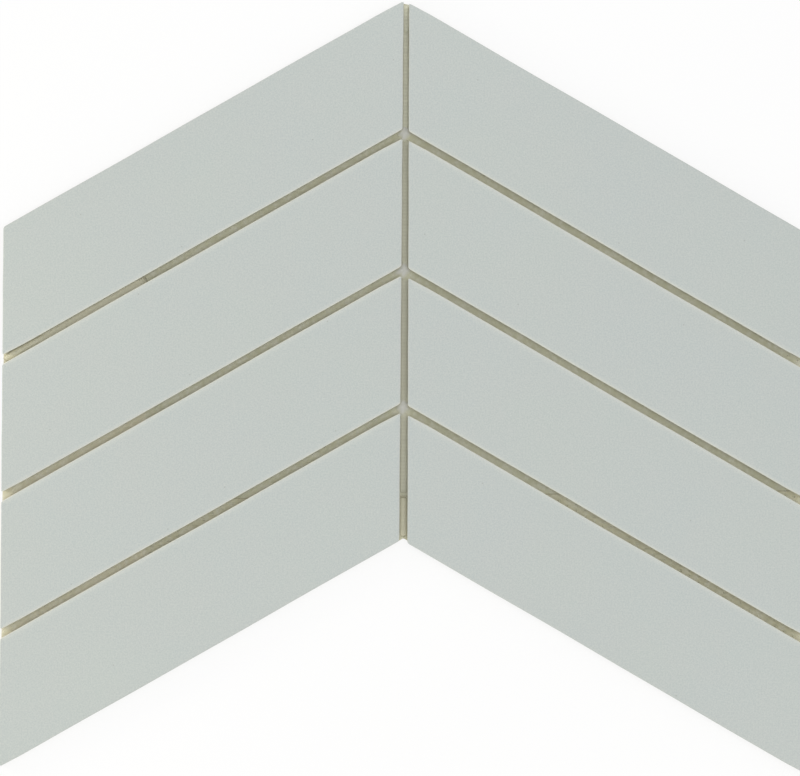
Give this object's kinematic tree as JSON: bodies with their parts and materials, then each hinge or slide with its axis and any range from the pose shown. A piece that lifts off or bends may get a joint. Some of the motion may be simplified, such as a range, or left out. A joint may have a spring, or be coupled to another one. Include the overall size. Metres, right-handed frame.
{
  "type": "chevron wall tile sheet",
  "caption": "Flat chevron sheet of satin-glazed ceramic parallelogram wall tiles, in two mirrored columns on a fibre backing, that nests with like sheets to cover a wall.",
  "frame": {"origin": "under the middle of the sheet's bounding box, on the underside of the backing", "axes": "+Z out of the glazed faces, +Y towards the chevron's peak, +X across the sheet to the right"},
  "size_m": [0.3058, 0.2918, 0.007],
  "materials": {
    "glaze": "satin pale grey-green glaze over a pale fired body",
    "backing": "coarse woven fibre mesh set in dried glue",
    "glue": "dried pale grey glue"
  },
  "bodies": {
    "root": {"backing_sheet": "backing", "left_tile_1": "glaze", "left_tile_2": "glaze", "left_tile_3": "glaze", "left_tile_4": "glaze", "right_tile_1": "glaze", "right_tile_2": "glaze", "right_tile_3": "glaze", "right_tile_4": "glaze", "glue_dot_1": "glue", "glue_dot_2": "glue", "glue_dot_3": "glue"}
  },
  "joints": []
}
